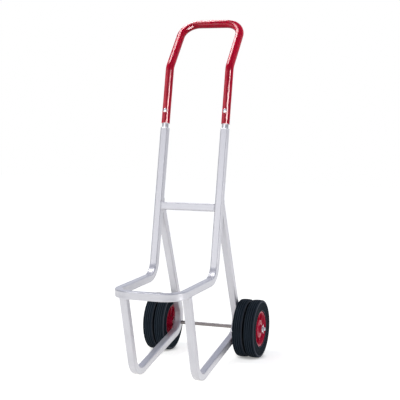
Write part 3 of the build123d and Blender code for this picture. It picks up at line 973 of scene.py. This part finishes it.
class DOLLY_OT_handle_bolts(bpy.types.Operator):
    """Turn the domed handle bolts and form their lock nuts"""

    bl_idname = "dolly.handle_bolts"
    bl_label = "Handle Bolts"

    def execute(self, context):
        handle = context.scene.dolly_handle
        places = FramePlaces(context.scene.dolly_tubes)
        forward = -places.behind_upright
        middle = places.handle_end + places.along_upright * handle.bolt_rise
        seat = HANDLE_DIA / 2
        for side, sign in SIDES.items():
            centre = on_rail(sign, middle)
            self.bolt(f"{side}_handle_bolt", centre, forward, seat, handle.bolt_head / 2)
            self.nut(f"{side}_handle_nut", centre - forward * seat, -forward, handle.nut_flats / 2)
        return {"FINISHED"}

    def bolt(self, name, centre, forward, seat, head):
        """A domed head in front of the handle leg and a plain end behind the nut."""
        edge = 0.0008
        dome = 0.0034
        dome_steps = 8
        sunk = 0.0015
        sunk_share = 0.96
        shank = 0.003175
        tail_length = 0.0085
        chamfer = 0.0008
        tail = -seat - tail_length
        angles = [step * pi / (2 * dome_steps) for step in range(dome_steps + 1)]
        outline = [(seat + edge + dome * cos(angle), head * sin(angle)) for angle in angles]
        outline += [(seat - sunk, head * sunk_share), (seat - sunk, shank)]
        outline += [(tail + chamfer, shank), (tail, shank - chamfer), (tail, 0)]
        piece = chains(name, outline)
        grow(piece, turned_tree(), {
            "Segments": 40, "Centre": tuple(centre), "Rotation": facing(forward),
            "Material": finish_named("bright_zinc")})
        clean(piece, sharp=radians(45))
        hand_over(piece, "frame", "handle_bolts")

    def nut(self, name, seat, away, flat):
        """A hexagon with turned-down corners and a round collar, as levels of one shape."""
        height = 0.006
        bore = 0.0032
        collar = flat * 0.86
        corner = flat * 1.2
        steps = 72

        # Each level's height above the seat and the largest radius there
        levels = (
            (0.0002, flat * 1.06), (0.0009, corner), (0.68 * height, corner), (0.76 * height, flat * 1.02),
            (0.78 * height, collar), (0.96 * height, collar), (height, collar * 0.92), (height, bore),
        )
        turn = away.to_track_quat("X", "Z")
        points = []
        for level, limit in levels:
            for step in range(steps):
                angle = step * tau / steps
                to_flat = (angle + pi / 6) % (pi / 3) - pi / 6
                radius = min(limit, flat / cos(to_flat))
                points.append(seat + turn @ Vector((level, radius * cos(angle), radius * sin(angle))))
        faces = []
        for low in range(0, len(points) - steps, steps):
            high = low + steps
            for step in range(steps):
                ahead = (step + 1) % steps
                faces.append((low + step, low + ahead, high + ahead, high + step))
        mesh = bpy.data.meshes.new(name)
        mesh.from_pydata(points, [], faces)
        mesh.materials.append(finish_named("bright_zinc"))
        piece = link_object(name, mesh)
        clean(piece, sharp=radians(30))
        hand_over(piece, "frame", "handle_nuts")


# Sections of the wheels

def ridged(places, width, height, plain, surface):
    """Points along a surface line, with a ridge of a width and height at each place."""
    stops = [(place, 0.0) for place in plain]
    for place in places:
        stops += [
            (place - width / 2, 0.0), (place - width / 4, height),
            (place + width / 4, height), (place + width / 2, 0.0)]
    return [surface(place, lift) for place, lift in sorted(stops)]


def tyre_outline(wheels):
    """Closed outline of a tyre: grooved crown, round shoulders, ringed side walls and beads."""
    half_tyre = 0.0216
    shoulder = 0.005
    shoulder_steps = 8
    crown_drop = 0.001
    shoulder_drop = 0.0065
    wall_steps = 10
    pinch = 0.0024
    ring_width = 0.0016
    ring_height = 0.0004
    outer_ring = 0.004
    inner_ring = 0.006
    bead_height = 0.0058
    bead_proud = 0.0012
    bead_gap = 0.0004
    half_tread = half_tyre - shoulder
    wall_top = TREAD - shoulder_drop
    wall_foot = FLANGE + bead_height
    wall_height = wall_top - wall_foot
    rings = (wall_top - outer_ring, wall_foot + inner_ring)
    bead_face = half_tyre - pinch + bead_proud
    bead_foot = FLANGE + bead_gap
    bead = HALF_RIM - RIM_LIP - TYRE_GAP

    # Raised ring of the bead: each point's distance in from its face and out from the flange
    bead_ring = ((0.0003, 0.0045), (0.0, 0.0041), (0.0, 0.0017), (0.0006, 0.0008))

    def crown(place, lift):
        return place, TREAD - crown_drop * (place / half_tread) ** 2 + lift

    def wall(radius, lift):
        return half_tyre - pinch * ((wall_top - radius) / wall_height) ** 2 + lift, radius

    pitch = wheels.groove_pitch
    grooves = [(place + 0.5) * pitch for place in range(wheels.groove_count // 2)]
    plain = [place * pitch / 3 for place in range(int(3 * half_tread / pitch) + 1)]
    outline = ridged(grooves, wheels.groove_width, -wheels.groove_depth, plain, crown)
    for step in range(1, shoulder_steps):
        angle = step * pi / (2 * shoulder_steps)
        outline.append((
            half_tread + shoulder * sin(angle), wall_top + (shoulder_drop - crown_drop) * cos(angle)))
    plain = [wall_top - wall_height * step / wall_steps for step in range(wall_steps + 1)]
    outline += reversed(ridged(rings, ring_width, ring_height, plain, wall))
    outline += [(bead_face - inset, FLANGE + rise) for inset, rise in bead_ring]
    outline += [(HALF_RIM, bead_foot), (bead, bead_foot), (bead, RIM_SEAT + TYRE_GAP)]
    mirrored = [(-place, radius) for place, radius in reversed(outline) if place > 0]
    return outline + mirrored


def hub_outline():
    """Closed outline of a hub, as corner points with their roundings."""
    bore = 0.0125
    neck_wall = 0.004
    web = 0.003
    root = 0.063
    mouth = 0.07
    draft = 0.002
    outer_boss = 0.0395
    boss_drop = 0.003
    boss_wall = 0.0035
    groove_depth = 0.009
    neck = bore + neck_wall
    lip = HALF_RIM - RIM_LIP
    outer_face = HALF_RIM - boss_drop
    inner_face = boss_drop - HALF_HUB
    groove = INNER_BOSS - boss_wall
    groove_floor = groove_depth - HALF_HUB
    crisp, soft, small, medium, large = 0.0008, 0.001, 0.0015, 0.002, 0.003
    return rounded_corners((
        ((-HALF_HUB, bore), 0), ((-HALF_HUB, neck), crisp), ((groove_floor, neck), soft),
        ((groove_floor, groove), soft), ((inner_face, groove), crisp), ((inner_face, INNER_BOSS), soft),
        ((-web, INNER_BOSS + draft), small), ((-web, root), large), ((-HALF_RIM, mouth), medium),
        ((-HALF_RIM, FLANGE), soft), ((-lip, FLANGE), crisp), ((-lip, RIM_SEAT), 0),
        ((lip, RIM_SEAT), 0), ((lip, FLANGE), crisp), ((HALF_RIM, FLANGE), soft),
        ((HALF_RIM, mouth), medium), ((web, root), large), ((web, outer_boss + draft), medium),
        ((outer_face, outer_boss), large), ((HALF_RIM, neck + draft), soft),
        ((HALF_HUB, neck), crisp), ((HALF_HUB, bore), 0),
    ))


def hub_rib(wheels):
    """Mesh of one rib through both faces of the web, standing along Z, with rounded edges."""
    top = 0.0665
    depth = 0.011
    rounding = 0.0012
    shape = bmesh.new()
    bmesh.ops.create_cube(shape, size=1.0)
    for vert in shape.verts:
        rise = (vert.co.z + 0.5) * (top - INNER_BOSS)
        vert.co = Vector((vert.co.x * 2 * depth, vert.co.y * wheels.rib_thickness, INNER_BOSS + rise))
    long_edges = [edge for edge in shape.edges if abs(edge.verts[0].co.z - edge.verts[1].co.z) > depth]
    bmesh.ops.bevel(shape, geom=long_edges, offset=rounding, segments=3, profile=0.5, affect="EDGES")
    mesh = bpy.data.meshes.new("hub_rib")
    shape.to_mesh(mesh)
    shape.free()
    return mesh


# Wheels and axle

class DOLLY_OT_wheels(bpy.types.Operator):
    """Mould the tyres and hubs of the four wheels and finish their bushes"""

    bl_idname = "dolly.wheels"
    bl_label = "Wheels"

    def execute(self, context):
        for side, sign in SIDES.items():
            for place in PLACES:
                self.wheel(f"{side}_{place}", facing(Vector((sign, 0, 0))), context.scene.dolly_wheels)
        return {"FINISHED"}

    def wheel(self, wheel, rotation, wheels):
        """Tyre, hub shell and hub ribs of one wheel."""
        values = {
            "Centre": tuple(middle_of(f"{wheel}_tyre")), "Rotation": rotation,
            "Segments": wheels.segments, "Count": wheels.rib_count}
        tyre = chains(f"{wheel}_ribbed_tyre", tyre_outline(wheels), closed=True)
        hub = chains(f"{wheel}_hub_shell", hub_outline(), closed=True)
        ribs = link_object(f"{wheel}_hub_ribs", hub_rib(wheels))
        for piece, tree, finish, sharp, slot, node in (
            (tyre, turned_tree(), "tyre_rubber", radians(35), "tyre_black", f"{wheel}_tyre"),
            (hub, turned_tree(), "hub_enamel", radians(40), "hub_red", f"{wheel}_hub"),
            (ribs, rib_ring_tree(), "hub_enamel", radians(40), "hub_red", f"{wheel}_hub"),
        ):
            grow(piece, tree, {**values, "Material": finish_named(finish)})
            clean(piece, sharp)
            hand_over(piece, f"{wheel}_wheel", node)
        for face in ("outboard", "inboard"):
            paint_node(f"{wheel}_{face}_bush", "moulded_nylon")


class DOLLY_OT_axle(bpy.types.Operator):
    """Finish the axle, spacers, washers and cotter pins"""

    bl_idname = "dolly.axle"
    bl_label = "Axle"

    def execute(self, context):
        paint_node("axle", "turned_steel")
        pins = [f"{side}_cotter_pin" for side in SIDES]
        for node in ("axle_spacers", "middle_washers", "outer_washers", *pins):
            paint_node(node, "bright_zinc")
        return {"FINISHED"}


# Studio

WHITE = (1.0, 1.0, 1.0, 1.0)
LOW_SKY = (0.91, 0.94, 1.0, 1.0)
HIGH_SKY = (0.88, 0.93, 1.18, 1.0)
FLOOR_SEEN = (0.88, 0.87, 0.77, 1.0)
FLOOR_BOUNCED = (0.86, 0.86, 0.88, 1.0)
SENSOR = 36.0

# Points that the lamps are aimed at
MIDDLE = Vector((0.0, 0.0, 0.65))
GRIP = Vector((0.0, 0.25, 1.3))

# Pieces that a lamp may be for
ON_ALL = ()
ON_HANDLE = ("handle_loop",)
ON_HUBS = tuple(
    f"{side}_{place}_hub_{part}" for side in SIDES for place in PLACES for part in ("shell", "ribs"))
ON_FRAME = (
    "upper_frame_tube", "cross_bar_tube", "left_side_tube_tube", "right_side_tube_tube", "frame_welds")


def aim_at(thing, point):
    """Turn a lamp or camera towards a point."""
    thing.rotation_euler = (point - thing.location).to_track_quat("-Z", "Y").to_euler()


def seen_rays(tree):
    """Sockets that are 1 for rays from the camera, and for rays that meet the scene in gloss or glass."""
    path = add_node(tree, "ShaderNodeLightPath").outputs
    mirrored = math_node(tree, "MAXIMUM", path["Is Glossy Ray"], path["Is Transmission Ray"])
    return path["Is Camera Ray"], mirrored


class DOLLY_OT_studio(bpy.types.Operator):
    """Set up the floor, soft light, white surround and camera"""

    bl_idname = "dolly.studio"
    bl_label = "Studio"

    def execute(self, context):
        studio = context.scene.dolly_studio
        context.scene.view_settings.view_transform = "Standard"
        self.floor(studio.floor_size / 2)
        self.surround(context.scene, studio.ambient)

        # Name, power, place, aim and size of each lamp, the pieces that it is for, and what it lights
        for lamp in (
            ("front_soft_box", studio.key_power, (-1.0, -4.4, 1.8), MIDDLE, (3.6, 2.6), ON_ALL, "all"),
            ("top_soft_box", studio.top_power, (-1.5, 0.1, 4.0), MIDDLE, (1.2, 1.2), ON_ALL, "all"),
            ("left_light", studio.left_power, (-3.0, -0.6, 1.6), GRIP, (1.5, 2.0), ON_HANDLE, "colour"),
            ("right_light", studio.right_power, (2.3, 1.5, 2.8), GRIP, (2.0, 2.2), ON_HANDLE, "colour"),
            ("strip_light", studio.strip_power, (1.34, -1.05, 1.0), GRIP, (1.4, 2.0), ON_HANDLE, "gloss"),
            ("panel_light", studio.panel_power, (-2.28, -1.7, 1.35), GRIP, (3.8, 2.4), ON_HANDLE, "gloss"),
            ("edge_light", studio.edge_power, (-0.3, 0.35, 1.83), GRIP, (0.6, 0.36), ON_HANDLE, "gloss"),
            ("back_light", studio.back_power, (-1.1, 2.3, 3.5), GRIP, (1.5, 1.0), ON_HANDLE, "gloss"),
            ("hub_light", studio.hub_power, (3.0, -1.6, 0.7), AXLE, (0.5, 0.5), ON_HUBS, "gloss"),
            ("side_soft_box", studio.side_power, (4.0, 0.12, 0.85), MIDDLE, (0.6, 1.8),
             ON_FRAME + ON_HUBS, "all"),
        ):
            self.soft_box(*lamp)
        lens = bpy.data.cameras.new("camera")
        lens.lens = studio.lens
        lens.sensor_width = SENSOR
        camera = link_object("camera", lens)
        camera.location = studio.camera_place
        aim_at(camera, Vector(studio.camera_aim))
        context.scene.camera = camera
        return {"FINISHED"}

    def floor(self, half):
        """Pale floor that keeps the object's shadow, and whose glow is weaker near the wheels: a painted
        contact shadow.
        """
        corners = [(-half, -half, 0), (half, -half, 0), (half, half, 0), (-half, half, 0)]
        mesh = bpy.data.meshes.new("floor")
        mesh.from_pydata(corners, [], [(0, 1, 2, 3)])
        floor = link_object("floor", mesh)
        material = bpy.data.materials.new("floor_white")
        material.use_nodes = True
        tree = material.node_tree
        tree.nodes.clear()
        seen = math_node(tree, "MAXIMUM", *seen_rays(tree))
        paint = result(tree, "ShaderNodeBsdfDiffuse", {
            "Color": mixed_colour(tree, seen, FLOOR_BOUNCED, FLOOR_SEEN)})
        # Painted contact shadow: the floor's glow is weaker where the wheels touch it, so the floor shows
        # darker there
        wheel_x = (middle_of("right_inner_tyre").x + middle_of("right_outer_tyre").x) / 2
        touches = [(sign * wheel_x, AXLE.y, 0.0) for sign in SIDES.values()]
        away = math_node(tree, "MINIMUM", *[
            vector_node(tree, "DISTANCE", object_coordinate(tree), touch) for touch in touches])
        level = ramp(tree, away, start=0.035, end=0.08, low=0.25, high=0.71, smooth=True)
        lift = result(tree, "ShaderNodeEmission", {
            "Color": WHITE, "Strength": math_node(tree, "MULTIPLY", seen, level)})
        both = result(tree, "ShaderNodeAddShader", {0: paint, 1: lift})
        add_node(tree, "ShaderNodeOutputMaterial", {"Surface": both})
        mesh.materials.append(material)

    def surround(self, scene, ambient):
        """White background, which lights the object less than it shows."""
        scene.world = bpy.data.worlds.new("surround")
        scene.world.use_nodes = True
        tree = scene.world.node_tree
        tree.nodes.clear()
        camera, mirrored = seen_rays(tree)
        _, depth, height = axes_of(tree, add_node(tree, "ShaderNodeTexCoord").outputs["Generated"])

        # What gloss shows: a white backdrop behind the object, a dim room and a paler wall in front
        behind = ramp(tree, depth, start=0.3, end=0.8, smooth=True)
        low = ramp(tree, height, start=0.7, end=0.4, smooth=True)
        ahead = ramp(tree, depth, start=-0.5, end=-0.9, smooth=True)
        backdrop = ramp(tree, math_node(tree, "MULTIPLY", behind, low), low=0.3, high=0.95)
        room = math_node(tree, "ADD", backdrop, ramp(tree, ahead, high=0.2))
        reflected = math_node(tree, "MULTIPLY", room, mirrored)
        shining = math_node(tree, "MULTIPLY", math_node(tree, "SUBTRACT", 1.0, mirrored), ambient)
        around = math_node(tree, "ADD", reflected, shining)
        sky = mixed_colour(tree, ramp(tree, height, start=0.25, end=0.6, smooth=True), LOW_SKY, HIGH_SKY)
        shown = result(tree, "ShaderNodeBackground", {
            "Color": mixed_colour(tree, camera, sky, WHITE),
            "Strength": math_node(tree, "MAXIMUM", camera, around)})
        add_node(tree, "ShaderNodeOutputWorld", {"Surface": shown})

    def soft_box(self, name, power, place, aim, size, pieces, lights):
        """Area lamp for the whole object or some pieces, which lights their colour, their gloss or all."""
        lamp = bpy.data.lights.new(name, "AREA")
        lamp.shape = "RECTANGLE"
        lamp.size, lamp.size_y = size
        lamp.energy = power
        box = link_object(name, lamp)
        box.location = place
        aim_at(box, aim)
        box.visible_camera = False
        box.visible_diffuse = lights != "gloss"
        box.visible_glossy = lights != "colour"
        if pieces:
            lit = bpy.data.collections.new(f"{name}_receivers")
            for piece in pieces:
                lit.objects.link(bpy.data.objects[piece])
            box.light_linking.receiver_collection = lit


# Steps, groups of settings and panel

STEPS = (
    DOLLY_OT_frame_tubes, DOLLY_OT_welds, DOLLY_OT_handle, DOLLY_OT_handle_bolts, DOLLY_OT_wheels,
    DOLLY_OT_axle, DOLLY_OT_studio,
)
GROUPS = {
    "dolly_tubes": DollyTubes, "dolly_handle": DollyHandle, "dolly_wheels": DollyWheels,
    "dolly_finishes": DollyFinishes, "dolly_studio": DollyStudio,
}


class DOLLY_PT_sidebar(bpy.types.Panel):
    """Sizes, colours and steps of the chair dolly"""

    bl_idname = "DOLLY_PT_sidebar"
    bl_label = "Chair Dolly"
    bl_space_type = "VIEW_3D"
    bl_region_type = "UI"
    bl_category = "Chair Dolly"

    def draw(self, context):
        for name, group in GROUPS.items():
            box = self.layout.box()
            settings = getattr(context.scene, name)
            for key in group.__annotations__:
                box.prop(settings, key)
        for step in STEPS:
            self.layout.operator(step.bl_idname)


def register():
    """Add the settings, operators and panel."""
    for name, group in GROUPS.items():
        bpy.utils.register_class(group)
        setattr(bpy.types.Scene, name, PointerProperty(type=group))
    for item in (*STEPS, DOLLY_PT_sidebar):
        bpy.utils.register_class(item)


def unregister():
    """Take the settings, operators and panel away."""
    for item in (DOLLY_PT_sidebar, *reversed(STEPS)):
        bpy.utils.unregister_class(item)
    for name, group in reversed(GROUPS.items()):
        delattr(bpy.types.Scene, name)
        bpy.utils.unregister_class(group)


def main():
    """Dress the dolly."""
    register()
    for step in STEPS:
        group, name = step.bl_idname.split(".")
        getattr(getattr(bpy.ops, group), name)()


if __name__ == "__main__":
    main()
